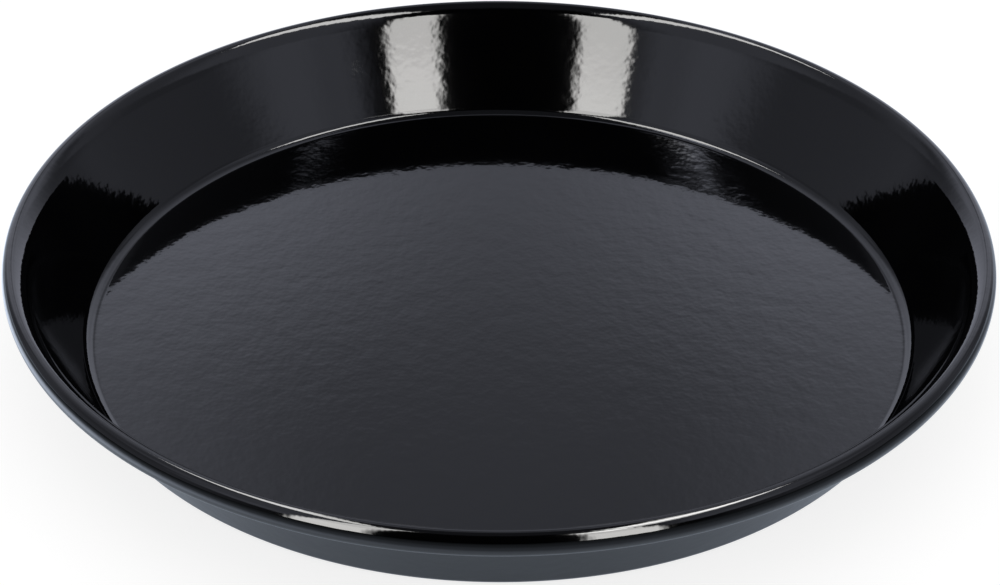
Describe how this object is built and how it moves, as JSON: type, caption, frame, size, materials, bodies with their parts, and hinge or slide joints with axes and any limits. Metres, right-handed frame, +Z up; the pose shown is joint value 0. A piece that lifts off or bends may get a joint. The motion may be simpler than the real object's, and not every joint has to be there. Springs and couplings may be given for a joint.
{
  "type": "quiche pan",
  "caption": "Round shallow quiche pan of black enamelled sheet steel, with a flat floor, plain sloping wall and rolled rim.",
  "frame": {"origin": "centre of the underside, on the plane that the pan stands on", "axes": "+Z up along the pan's axis of revolution; +X to the right and -Y towards the viewer in the picture's view"},
  "size_m": [0.28, 0.28, 0.032],
  "materials": {
    "pressed_steel": "plain cold-rolled sheet, hidden under the enamel",
    "ground_enamel": "dark blue-black ground coat, hidden under the cover coat",
    "inside_cover_enamel": "high-gloss black enamel with a light orange peel",
    "outside_cover_enamel": "high-gloss black enamel with a light orange peel and the marks of its firing supports"
  },
  "bodies": {
    "root": {"steel_pan": "pressed_steel", "inside_ground_coat": "ground_enamel", "inside_cover_coat": "inside_cover_enamel", "outside_ground_coat": "ground_enamel", "outside_cover_coat": "outside_cover_enamel"}
  },
  "joints": []
}
